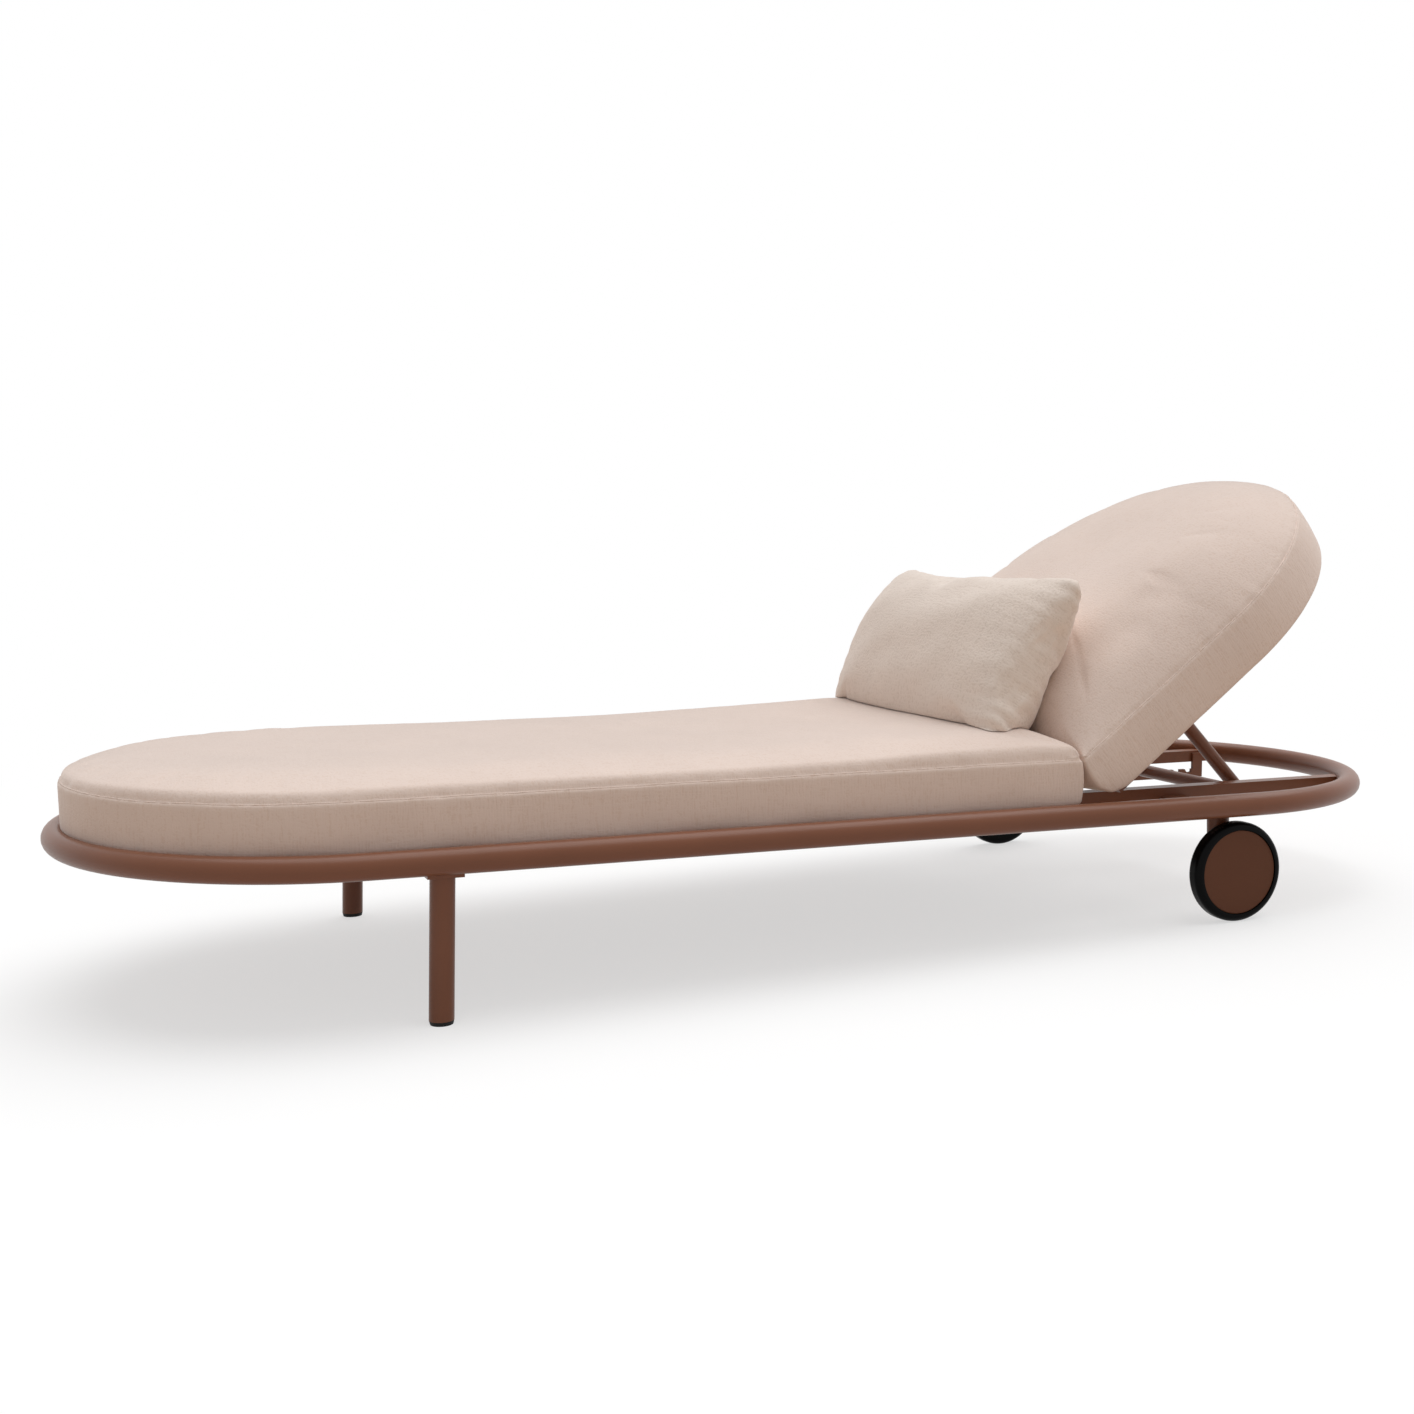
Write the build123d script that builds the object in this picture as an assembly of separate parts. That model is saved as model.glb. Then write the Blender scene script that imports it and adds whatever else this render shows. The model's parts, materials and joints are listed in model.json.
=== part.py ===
from build123d import *
import os
from math import asin, cos, degrees, radians, sin, sqrt, tan

# Reclining sun lounger on two legs and two wheels. Millimetres.
# +Z is up, +X runs from the foot end to the head end, and the origin is on the floor
# below the middle. "Left" is the -Y side, the left hand of the person lying in it.
# Most pieces are drawn in the deck frame: its XY plane holds the centreline of the ring
# tube, and the whole deck falls a little towards the head end.

# Oval ring
overall_length = 2100.0
ring_half_width = 367.9
ring_diameter = 35.0
ring_wall = 2.0
weep_hole_diameter = 6.0
weep_hole_inset = 344.6

# Stance of the deck
deck_height = 197.8
frame_fall = 1.74

# Rails, cross members and seat slats. A setback is a distance from an end of the ring.
rail_offset = 185.0
rail_width = 25.0
rail_height = 20.0
rail_top = 4.0
rail_wall = 2.0
cross_width = 30.0
cross_height = 16.0
cross_top = -3.5
cross_wall = 2.0
foot_cross_setback = 230.0
slat_width = 40.0
slat_thickness = 5.0
seat_slat_count = 10
seat_slat_first_setback = 110.0
seat_slat_hinge_gap = 123.4

# Legs and their plates
leg_setback = 479.3
leg_inset = 22.6
leg_diameter = 33.0
leg_wall = 2.0
leg_rake = 3.2
plate_length = 48.0
plate_thickness = 6.0
plate_groove = 1.5
glide_height = 5.5
glide_taper = 1.5
glide_spigot_length = 14.0

# Wheels
wheel_setback = 415.2
wheel_inset = 13.4
wheel_radius = 75.9
tyre_width = 27.0
tyre_rounding = 9.0
core_radius = 58.0
rim_thickness = 5.0
web_thickness = 3.0
hub_radius = 13.0
rib_count = 6
rib_thickness = 4.0
cover_radius = 63.8
cover_thickness = 3.0
cover_rounding = 1.4
cover_setback = 2.0
cover_relief = 0.1
post_spacing = 40.5
post_diameter = 33.0
post_wall = 2.0
post_tail = 22.0
axle_diameter = 10.0
axle_head_radius = 10.0
axle_head_thickness = 4.0
axle_tail = 2.0
nut_across_flats = 17.0
nut_thickness = 8.0
washer_radius = 12.0

# Clearances
running_clearance = 0.05
seat_gap = 0.3

# Back hinge
hinge_setback = 608.6
hinge_z = -5.5
back_angle = 37.6
hinge_pin_diameter = 10.0
ear_radius = 12.0
ear_thickness = 5.0
bracket_base = 4.0
hinge_cross_gap = 21.4
pin_head_radius = 8.0
pin_head_thickness = 3.0

# Back frame
bearer_offset = 125.0
bearer_width = 20.0
bearer_drop = 12.0
bearer_rounding = 10.8
bearer_wall = 2.0
bearer_length = 525.0
bearer_deep_length = 440.0
bearer_taper_length = 25.0
bearer_shallow_bottom = 3.0
back_slat_count = 5
back_slat_first = 45.0
back_slat_last = 500.0
back_slat_inset = 20.0
ring_top_clearance = 0.5

# Bail that props the back, and the toothed racks that it stands in
bail_offset = 150.0
bail_diameter = 22.0
bail_wall = 2.0
bail_bend_radius = 25.0
bail_pivot_distance = 253.0
bail_length = 231.5
bail_pin_diameter = 8.0
crossbar_z = -19.5
peg_diameter = 12.0
peg_end_gap = 1.0
rack_thickness = 6.0
rack_height = 15.0
rack_ear_length = 20.0
rack_ear_top = 0.0
rack_notch_count = 6
rack_notch_depth = 6.0
rack_notch_slack = 1.0
rack_end_margin = 30.0
rack_tip_clearance = 0.5
peg_path_steps = 40

# Cushions
cushion_inset = 22.0
seat_cushion_foot_shift = 14.7
seat_cushion_hinge_gap = 66.4
seat_seam_z = 78.7
seat_crown = 42.0
cushion_bottom_rounding = 15.0
back_cushion_length = 668.6
back_cushion_depth = 82.7
back_crown = 78.0
crown_fullness = 5.0
crown_steps = (0.0, 0.06, 0.18, 0.36, 0.6)

# Lumbar pillow
pillow_width = 640.0
pillow_height = 322.0
pillow_thickness = 150.0
pillow_corner = 45.0
pillow_lean = 52.0
pillow_fullness = 2.4
pillow_steps = (0.0, 0.1, 0.28, 0.5, 0.75)
pillow_stand = 60.0
pillow_rest = -5.5

# Worked out from the sizes above
half_length = overall_length / 2
ring_radius = ring_diameter / 2
ring_straight = half_length - ring_radius - ring_half_width
leg_x = leg_setback - half_length
leg_offset = ring_half_width - leg_inset
wheel_x = half_length - wheel_setback
wheel_offset = ring_half_width - wheel_inset
hinge_x = half_length - hinge_setback
cushion_half_width = ring_half_width - cushion_inset
rail_inner = rail_offset - rail_width / 2
rail_outer = rail_offset + rail_width / 2
slat_bottom = rail_top
slat_top = rail_top + slat_thickness
plate_datum = plate_groove - ring_radius
back_underside = ring_radius + ring_top_clearance - hinge_z
bearer_top = back_underside - seat_gap - slat_thickness
pivot_rise = bail_pivot_distance * sin(radians(back_angle)) + hinge_z - crossbar_z
strut_angle = degrees(asin(pivot_rise / bail_length))
crossbar_x = (
    hinge_x
    + bail_pivot_distance * cos(radians(back_angle))
    + sqrt(bail_length**2 - pivot_rise**2)
)
flat_crossbar_x = (
    hinge_x + bail_pivot_distance + sqrt(bail_length**2 - (hinge_z - crossbar_z) ** 2)
)
deck_place = Location((0, 0, deck_height), (0, frame_fall, 0))
back_place = Location((hinge_x, 0, hinge_z), (0, -back_angle, 0))
bail_place = Location((bail_pivot_distance, 0, 0), (0, back_angle + strut_angle, 0))
sides = {"left": -1, "right": 1}

# Stations of a wheel along its axle, outwards from the middle of the lounger
post_offset = wheel_offset - post_spacing
post_outer = post_offset + post_diameter / 2
post_inner = post_offset - post_diameter / 2
tyre_inner = wheel_offset - tyre_width / 2
tyre_outer = wheel_offset + tyre_width / 2
core_inner = tyre_inner + seat_gap
cover_outer = tyre_outer - cover_setback
cover_inner = cover_outer - cover_thickness
head_outer = cover_inner - 2 * seat_gap
head_inner = head_outer - axle_head_thickness
hub_outer = head_inner - seat_gap

os.makedirs("parts", exist_ok=True)


def save(name, shape):
    """Writes one piece, drawn in the part's own frame."""
    export_step(shape, f"parts/{name}.step")


def save_deck(name, shape):
    save(name, deck_place * shape)


def save_back(name, shape):
    save_deck(name, back_place * shape)


def save_bail(name, shape):
    save_back(name, bail_place * shape)


def rod_y(radius, y_from, y_to, x=0.0, z=0.0):
    """Round bar along Y between two stations."""
    middle = (y_from + y_to) / 2
    return Pos(x, middle, z) * Rot(90, 0, 0) * Cylinder(radius, abs(y_to - y_from))


def rod_x(radius, x_from, x_to, y=0.0, z=0.0):
    """Round bar along X between two stations."""
    middle = (x_from + x_to) / 2
    return Pos(middle, y, z) * Rot(0, 90, 0) * Cylinder(radius, abs(x_to - x_from))


def side_plate(profile, y_from, y_to):
    """Plate whose outline lies in the XZ plane, between two stations along Y."""
    low = min(y_from, y_to)
    plate = extrude(Plane.XZ * profile, abs(y_to - y_from))
    return Pos(0, low - plate.bounding_box().min.Y, 0) * plate


def ring_body(radius):
    """The ring's oval centreline, swept with a solid round section."""
    section = Plane.XZ * Pos(ring_half_width, 0) * Circle(radius)
    bend = revolve(section, Axis.Z, 180)
    body = Pos(ring_straight, 0, 0) * Rot(0, 0, -90) * bend
    body += Pos(-ring_straight, 0, 0) * Rot(0, 0, 90) * bend
    for side in sides.values():
        body += rod_x(radius, -ring_straight, ring_straight, side * ring_half_width)
    return body


ring_envelope = ring_body(ring_radius)
ring_plan = SlotCenterToCenter(2 * ring_straight, 2 * ring_half_width)
ring_core = extrude(ring_plan, 2 * ring_diameter, both=True)


def fitted_in_ring(shape):
    """Ends a deck piece under the ring's centreline and copes it to the tube."""
    return (shape & ring_core) - ring_envelope


def build_ring():
    ring = ring_envelope - ring_body(ring_radius - ring_wall)
    weep_hole_x = ring_straight - weep_hole_inset
    for x in (-weep_hole_x, weep_hole_x):
        for side in sides.values():
            drill = Cylinder(weep_hole_diameter / 2, 2 * ring_radius)
            ring -= Pos(x, side * ring_half_width, -ring_radius) * drill
    save_deck("ring_tube", ring)


def box_tube(length, width, height, wall):
    """Rectangular tube along X, open at both ends."""
    bore = Box(length + 2 * wall, width - 2 * wall, height - 2 * wall)
    return Box(length, width, height) - bore


def build_rail(name, side):
    tube = box_tube(overall_length, rail_width, rail_height, rail_wall)
    rail = Pos(0, side * rail_offset, rail_top - rail_height / 2) * tube
    save_deck(f"rail_{name}", fitted_in_ring(rail))


def build_cross_member(name, x):
    tube = Rot(0, 0, 90) * box_tube(2 * rail_inner, cross_width, cross_height, cross_wall)
    save_deck(name, Pos(x, 0, cross_top - cross_height / 2) * tube)


def build_seat_slats():
    first_x = seat_slat_first_setback - half_length
    last_x = hinge_x - seat_slat_hinge_gap
    pitch = (last_x - first_x) / (seat_slat_count - 1)
    for index in range(seat_slat_count):
        bar = Box(slat_width, 2 * ring_half_width, slat_thickness)
        x = first_x + index * pitch
        slat = fitted_in_ring(Pos(x, 0, slat_bottom + slat_thickness / 2) * bar)
        save_deck(f"seat_slat_{index + 1:02d}", slat)


def side_bay_plate(side, x, start, z_low):
    """Flat plate from one face of a rail to the ring tube."""
    span = ring_half_width - start
    plate = Box(plate_length, span, plate_thickness)
    place = Pos(x, side * (start + span / 2), z_low + plate_thickness / 2)
    return fitted_in_ring(place * plate)


def deck_x(world_x, deck_z):
    """Deck station of the point that stands over world_x at the given deck height."""
    fall = radians(frame_fall)
    return (world_x - deck_z * sin(fall)) / cos(fall)


def below_deck(deck_z):
    """Everything under one level of the deck frame."""
    depth = 2 * deck_height
    return deck_place * Pos(0, 0, deck_z - depth / 2) * Box(overall_length, 2 * ring_half_width, depth)


def build_leg(name, side):
    """Round leg, raked towards the foot end, with a tapered glide under it."""
    radius = leg_diameter / 2
    bore = radius - leg_wall
    place = Location((leg_x, side * leg_offset, deck_height), (0, leg_rake, 0))
    upright = Cylinder(radius, 4 * deck_height) - Cylinder(bore, 5 * deck_height)
    above_glide = Pos(leg_x, side * leg_offset, glide_height + deck_height)
    above_glide *= Box(deck_height, 4 * radius, 2 * deck_height)
    leg = (place * upright) & below_deck(plate_datum - plate_thickness) & above_glide
    save(f"leg_{name}", leg)

    foot_x = leg_x - (deck_height - glide_height) * tan(radians(leg_rake))
    pad = Cone(radius - glide_taper, radius, glide_height)
    spigot = place * Cylinder(bore - seat_gap, 4 * deck_height)
    zone = Pos(foot_x, side * leg_offset, glide_height / 2 + glide_spigot_length / 2)
    zone *= Box(3 * radius, 3 * radius, glide_spigot_length)
    glide = Pos(foot_x, side * leg_offset, glide_height / 2) * pad + (spigot & zone)
    save(f"leg_glide_{name}", glide)

    x = deck_x(leg_x, plate_datum)
    plate = side_bay_plate(side, x, rail_inner, plate_datum - plate_thickness)
    save_deck(f"leg_plate_{name}", plate)


def build_wheel_post(name, side):
    """Plate and short tube that carry the stub axle of one wheel."""
    x = deck_x(wheel_x, plate_datum)
    save_deck(f"wheel_plate_{name}", side_bay_plate(side, x, rail_outer, plate_datum))
    radius = post_diameter / 2
    foot = wheel_radius - post_tail
    tube = Cylinder(radius, deck_height) - Cylinder(radius - post_wall, 2 * deck_height)
    post = Pos(wheel_x, side * post_offset, foot + deck_height / 2) * tube
    post = post & below_deck(plate_datum)
    y = side * post_offset
    post -= rod_y(axle_diameter / 2, y - post_diameter, y + post_diameter, wheel_x, wheel_radius)
    save(f"wheel_post_{name}", post)


def build_axle(name, side):
    radius = axle_diameter / 2
    axle = rod_y(radius, side * (post_inner - nut_thickness - axle_tail), side * head_outer)
    axle += rod_y(axle_head_radius, side * head_inner, side * head_outer)
    save(f"axle_{name}", Pos(wheel_x, 0, wheel_radius) * axle)


def build_axle_hardware():
    """Nuts inside the posts and spacing washers between posts and wheels."""
    nuts = []
    washers = []
    for side in sides.values():
        hexagon = RegularPolygon(nut_across_flats / 2, 6, major_radius=False)
        nut = extrude(hexagon - Circle(axle_diameter / 2), nut_thickness)
        nut = Pos(0, side * (post_inner - nut_thickness / 2), 0) * Rot(90, 0, 0) * (
            Pos(0, 0, -nut_thickness / 2) * nut
        )
        nuts.append(Pos(wheel_x, 0, wheel_radius) * nut)
        washer = rod_y(washer_radius, side * post_outer, side * (core_inner - seat_gap))
        washer -= rod_y(axle_diameter / 2, side * post_inner, side * tyre_outer)
        washers.append(Pos(wheel_x, 0, wheel_radius) * washer)
    save("axle_nuts", Compound(nuts))
    save("axle_washers", Compound(washers))


def turned(profile, side):
    """Revolves a profile drawn as (station, radius) about the axle of one wheel."""
    body = revolve(Plane.YZ * profile, Axis.Y, 360)
    if side < 0:
        body = mirror(body, Plane.XZ)
    return Pos(wheel_x, 0, wheel_radius) * body


def band(inner_station, outer_station, inner_radius, outer_radius):
    """Rectangle in (station, radius)."""
    width = outer_station - inner_station
    height = outer_radius - inner_radius
    return Pos(inner_station + width / 2, inner_radius + height / 2) * Rectangle(width, height)


def build_wheel(name, side):
    tread = band(tyre_inner, tyre_outer, core_radius, wheel_radius)
    tread = fillet(tread.vertices().group_by(Axis.Y)[-1], tyre_rounding)
    recess = band(cover_inner - cover_relief, tyre_outer + tyre_width, 0, cover_radius + seat_gap)
    save(f"tyre_{name}", turned(tread - recess, side))

    web_middle = (core_inner + hub_outer) / 2
    core = band(core_inner, hub_outer, axle_diameter / 2 + running_clearance, hub_radius)
    core += band(core_inner, cover_inner, core_radius - rim_thickness, core_radius)
    core += band(
        web_middle - web_thickness / 2,
        web_middle + web_thickness / 2,
        hub_radius - web_thickness / 2,
        core_radius - rim_thickness / 2,
    )
    body = turned(core, side)
    rib_start = hub_radius - web_thickness / 2
    rib_length = core_radius - rim_thickness / 2 - rib_start
    for index in range(rib_count):
        rib = Box(rib_length, hub_outer - core_inner, rib_thickness)
        rib = Pos(rib_start + rib_length / 2, side * web_middle, 0) * rib
        body += Pos(wheel_x, 0, wheel_radius) * Rot(0, 360 * index / rib_count, 0) * rib
    save(f"wheel_core_{name}", body)

    cover = band(cover_inner, cover_outer, 0, cover_radius)
    edge = cover.vertices().group_by(Axis.Y)[-1].sort_by(Axis.X)[-1]
    save(f"wheel_cover_{name}", turned(fillet(edge, cover_rounding), side))


def build_hinge():
    """Clevis bracket on the hinge cross member for each bearer, with its pin."""
    pins = []
    reach = hinge_cross_gap
    half_gap = bearer_width / 2 + seat_gap
    for name, side in sides.items():
        y = side * bearer_offset
        outline = Pos(-reach / 2, 0) * Rectangle(reach, 2 * ear_radius) + Circle(ear_radius)
        outline -= Circle(hinge_pin_diameter / 2)
        bracket = side_plate(outline, y - half_gap - ear_thickness, y - half_gap)
        bracket += side_plate(outline, y + half_gap, y + half_gap + ear_thickness)
        base = Box(bracket_base, 2 * (half_gap + ear_thickness), 2 * ear_radius)
        bracket += Pos(bracket_base / 2 - reach, y, 0) * base
        save_deck(f"hinge_bracket_{name}", Pos(hinge_x, 0, hinge_z) * bracket)
        face = half_gap + ear_thickness
        pin = rod_y(hinge_pin_diameter / 2, y - face, y + face)
        for end in (-1, 1):
            edge = y + end * face
            pin += rod_y(pin_head_radius, edge, edge + end * pin_head_thickness)
        pins.append(Pos(hinge_x, 0, hinge_z) * pin)
    save_deck("hinge_pins", Compound(pins))


def bearer_outline():
    """Side view of a bearer: full depth to the bail, then shallow over the crossbar."""
    step = bearer_deep_length + bearer_taper_length
    outline = Polygon(
        (-bearer_drop, -bearer_drop),
        (bearer_deep_length, -bearer_drop),
        (step, bearer_shallow_bottom),
        (bearer_length, bearer_shallow_bottom),
        (bearer_length, bearer_top),
        (-bearer_drop, bearer_top),
        align=None,
    )
    corners = outline.vertices().group_by(Axis.X)[0]
    return fillet(corners, bearer_rounding)


def build_bearer(name, side):
    y = side * bearer_offset
    half = bearer_width / 2
    outline = bearer_outline()
    hollow = offset(outline, amount=-bearer_wall)
    shallow_height = bearer_top - bearer_shallow_bottom - 2 * bearer_wall
    mouth = Rectangle(4 * bearer_wall, shallow_height)
    hollow += Pos(bearer_length, (bearer_top + bearer_shallow_bottom) / 2) * mouth
    bearer = side_plate(outline, y - half, y + half)
    bearer -= side_plate(hollow, y - half + bearer_wall, y + half - bearer_wall)
    bearer -= rod_y(hinge_pin_diameter / 2 + running_clearance, y - half, y + half)
    bearer -= rod_y(bail_pin_diameter / 2, y - half, y + half, bail_pivot_distance)
    save_back(f"bearer_{name}", bearer)


def build_back_slats():
    """Flat bars across the bearers, ending inside the ring when the back lies flat."""
    half_width = ring_half_width - ring_radius - back_slat_inset
    plan = Pos(ring_straight - hinge_x, 0) * Circle(half_width)
    plan += Rectangle(ring_straight - hinge_x, 2 * half_width, align=(Align.MIN, Align.CENTER))
    plate = Pos(0, 0, bearer_top) * extrude(plan, slat_thickness)
    pitch = (back_slat_last - back_slat_first) / (back_slat_count - 1)
    for index in range(back_slat_count):
        bar = Box(slat_width, 2 * half_width, 4 * slat_thickness)
        slat = (Pos(back_slat_first + index * pitch, 0, bearer_top) * bar) & plate
        save_back(f"back_slat_{index + 1}", slat)


def build_bail():
    """U of round tube: two arms from the pivots and a crossbar with a peg at each end."""
    radius = bail_diameter / 2
    path = FilletPolyline(
        (0, -bail_offset, 0),
        (bail_length, -bail_offset, 0),
        (bail_length, bail_offset, 0),
        (0, bail_offset, 0),
        radius=bail_bend_radius,
    )
    section = Plane(origin=(0, -bail_offset, 0), z_dir=(1, 0, 0))
    bail = sweep(section * Circle(radius), path=path)
    bail -= sweep(section * Circle(radius - bail_wall), path=path)
    pegs = []
    for side in sides.values():
        y = side * bail_offset
        bail += rod_y(radius, y - radius, y + radius)
        hole = bail_pin_diameter / 2 + running_clearance
        bail -= rod_y(hole, y - 2 * radius, y + 2 * radius)
        peg_start = side * (bail_offset - bail_bend_radius)
        peg = rod_y(peg_diameter / 2, peg_start, side * (rail_inner - peg_end_gap), bail_length)
        bail -= peg
        pegs.append(peg)
    save_bail("bail", bail)
    save_bail("bail_pegs", Compound(pegs))

    pins = []
    for side in sides.values():
        inner = side * (bearer_offset - bearer_width / 2)
        outer = side * (bail_offset + radius + seat_gap)
        pin = rod_y(bail_pin_diameter / 2, inner, outer)
        pin += rod_y(pin_head_radius, inner - side * pin_head_thickness, inner)
        pin += rod_y(pin_head_radius, outer, outer + side * pin_head_thickness)
        pins.append(pin)
    save_back("bail_pins", Location((bail_pivot_distance, 0, 0)) * Compound(pins))


def peg_height(lowering):
    """Deck height of the pegs' axis when the back is lowered by some degrees from rest."""
    flat_strut = degrees(asin((hinge_z - crossbar_z) / bail_length))
    strut = strut_angle - lowering * (strut_angle - flat_strut) / back_angle
    pivot_z = hinge_z + bail_pivot_distance * sin(radians(back_angle - lowering))
    return pivot_z - bail_length * sin(radians(strut))


def build_rack(name, side):
    """Saw-toothed plate, hung from a rail's inner face by an upright ear at each end."""
    steps = range(peg_path_steps + 1)
    path = [peg_height(back_angle * step / peg_path_steps) for step in steps]
    tip_z = min(path) - peg_diameter / 2 - rack_tip_clearance
    floor_z = tip_z - rack_notch_depth
    pitch = (flat_crossbar_x - crossbar_x) / (rack_notch_count - 1)
    half_notch = peg_diameter / 2 + rack_notch_slack
    start = crossbar_x - rack_end_margin
    end = flat_crossbar_x + rack_end_margin
    outline = Pos((start + end) / 2, tip_z - rack_height / 2) * Rectangle(end - start, rack_height)
    outer = side * rail_inner
    inner = outer - side * rack_thickness
    ear = Rectangle(rack_ear_length, rack_ear_top - tip_z)
    ears = []
    for x in (start + rack_ear_length / 2, end - rack_ear_length / 2):
        ears.append(side_plate(Pos(x, (rack_ear_top + tip_z) / 2) * ear, outer, inner))
    for index in range(rack_notch_count):
        x = crossbar_x + index * pitch
        notch = Polygon(
            (x + half_notch, tip_z + rack_notch_slack),
            (x + half_notch, floor_z),
            (x - half_notch / 2, floor_z),
            (x - half_notch - rack_notch_slack, tip_z + rack_notch_slack),
            align=None,
        )
        outline -= fillet(notch.vertices().group_by(Axis.Y)[0], peg_diameter / 4)
    save_deck(f"rack_{name}", side_plate(outline, outer, inner))
    save_deck(f"rack_ears_{name}", Compound(ears))


def half_oval(straight, half_width, inset):
    """Outline with a straight end at x = 0 and a round end, drawn in by an inset."""
    reach = half_width - inset
    sides_and_end = Polyline((straight, -reach), (inset, -reach), (inset, reach), (straight, reach))
    nose = ThreePointArc((straight, reach), (straight + reach, 0), (straight, -reach))
    return make_face(sides_and_end + nose)


def crown(outline, reach, height, fullness, steps):
    """Dome over an outline: steep at the seam, nearly flat over the middle."""
    sections = []
    for step in steps:
        rise = height * (1 - (1 - step) ** fullness)
        sections.append(Pos(0, 0, rise) * outline(step * reach))
    return loft(sections)


def cushion(straight, half_width, depth, height):
    """Boxed cushion with a rounded bottom edge and a crowned top, bottom face at z = 0."""
    def outline(inset):
        return half_oval(straight, half_width, inset)

    body = extrude(outline(0), depth)
    body = fillet(body.edges().group_by(Axis.Z)[0], cushion_bottom_rounding)
    dome = crown(outline, half_width, height, crown_fullness, crown_steps)
    return body + Pos(0, 0, depth) * dome


def build_seat_cushion():
    bottom = slat_top + seat_gap
    end_x = hinge_x - seat_cushion_hinge_gap
    straight = end_x + ring_straight + seat_cushion_foot_shift
    pad = cushion(straight, cushion_half_width, seat_seam_z - bottom, seat_crown)
    save_deck("seat_cushion", Pos(end_x, 0, bottom) * Rot(0, 0, 180) * pad)


def build_back_cushion():
    straight = back_cushion_length - cushion_half_width
    pad = cushion(straight, cushion_half_width, back_cushion_depth, back_crown)
    save_back("back_cushion", Pos(0, 0, back_underside) * pad)


def build_pillow():
    """Lumbar pillow that stands on the seat cushion and leans on the back cushion."""
    def outline(inset):
        corner = pillow_corner * (1 - inset / pillow_height)
        return RectangleRounded(pillow_height - 2 * inset, pillow_width - 2 * inset, corner)

    reach = pillow_height / 2
    half = crown(outline, reach, pillow_thickness / 2, pillow_fullness, pillow_steps)
    pillow = half + mirror(half, Plane.XY)
    slope = radians(back_angle)
    stand = back_underside + back_cushion_depth + back_crown + pillow_stand
    z = seat_seam_z + seat_crown + pillow_rest + reach * sin(radians(pillow_lean))
    along = (z - hinge_z - stand * cos(slope)) / sin(slope)
    x = hinge_x + along * cos(slope) - stand * sin(slope)
    save_deck("pillow", Location((x, 0, z), (0, -pillow_lean, 0)) * pillow)


build_ring()
leg_cross_x = deck_x(leg_x, plate_datum)
hinge_cross_x = hinge_x - hinge_cross_gap - cross_width / 2
build_cross_member("foot_cross_member", foot_cross_setback - half_length)
build_cross_member("leg_cross_member", leg_cross_x)
build_cross_member("seat_cross_member", (leg_cross_x + hinge_cross_x) / 2)
build_cross_member("hinge_cross_member", hinge_cross_x)
build_seat_slats()
for side_name, side_sign in sides.items():
    build_rail(side_name, side_sign)
    build_leg(side_name, side_sign)
    build_wheel_post(side_name, side_sign)
    build_axle(side_name, side_sign)
    build_wheel(side_name, side_sign)
    build_bearer(side_name, side_sign)
    build_rack(side_name, side_sign)
build_axle_hardware()
build_hinge()
build_back_slats()
build_bail()
build_seat_cushion()
build_back_cushion()
build_pillow()
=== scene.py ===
import json
from math import cos, exp, pi, radians, sin

import bmesh
import bpy
import numpy as np
from mathutils import Matrix, Vector, noise
from mathutils.bvhtree import BVHTree


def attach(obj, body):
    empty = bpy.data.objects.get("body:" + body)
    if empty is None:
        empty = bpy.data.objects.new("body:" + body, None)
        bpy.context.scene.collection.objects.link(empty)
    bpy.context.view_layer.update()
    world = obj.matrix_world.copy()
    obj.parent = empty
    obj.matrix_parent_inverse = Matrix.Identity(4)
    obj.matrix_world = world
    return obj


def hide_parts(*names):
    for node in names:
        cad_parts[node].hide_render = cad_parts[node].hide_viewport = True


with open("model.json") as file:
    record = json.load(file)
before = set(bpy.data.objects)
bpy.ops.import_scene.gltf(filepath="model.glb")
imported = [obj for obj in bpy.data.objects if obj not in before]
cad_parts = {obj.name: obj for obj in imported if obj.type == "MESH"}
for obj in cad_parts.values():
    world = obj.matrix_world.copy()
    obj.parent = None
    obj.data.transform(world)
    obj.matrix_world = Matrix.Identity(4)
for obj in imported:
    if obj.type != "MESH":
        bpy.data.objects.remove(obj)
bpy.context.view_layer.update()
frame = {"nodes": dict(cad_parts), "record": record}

# Sewn sizes of the soft pieces, in metres
SEAT_SEWN = {
    "depth": 0.0694, "rounding": 0.006, "side_bulge": 0.0, "roll": 0.013, "crown": 0.030,
    "fullness": 8.0, "end_run": 0.025, "end_bulge": 0.002, "end_corner_bulge": 0.004,
    "end_spread": 4.0, "lift": 0.014, "lift_start": -1.0, "lift_full": 0.0, "lift_reach": 0.55,
    "heel": 0.002, "valley": 0.0, "growth": 0.003, "cap": 0.0022, "hollows": 0.0012,
}
BACK_SEWN = {
    "depth": 0.0827, "rounding": 0.008, "side_bulge": 0.002, "roll": 0.004, "crown": 0.081,
    "fullness": 5.5, "end_run": 0.035, "end_bulge": 0.020, "end_corner_bulge": 0.004,
    "end_spread": 3.0, "lift": 0.025, "lift_start": 0.0, "lift_full": 0.2, "lift_reach": 0.62,
    "heel": 0.010, "valley": 0.007, "growth": 0.003, "cap": 0.0022, "hollows": 0.0022,
}
PLAN_CORNER = 0.004
BASE_SHARES = (0.97, 0.8, 0.62, 0.44, 0.27, 0.12)
BASE_STEPS = 3
WALL_STEPS = 8
ROLL_STEPS = 5
SEAM_STAND = 0.0014
FIRST_SPACING = 0.0024
SPACING_GROWTH = 1.35
END_CURVE = 0.06
END_SHIFT = 0.042
SEAM_TUCK = 0.0026
PIPING_RADIUS = 0.0009
PUCKER = 0.0014
SPACING = 0.009
END_STEPS = 38
CORNER_STEPS = 3
NOSE_STEPS = 58
PIN_WEIGHTS = {"base": 1.0, "seam": 1.0, "box": 0.5, "crown": 0.0}
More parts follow.
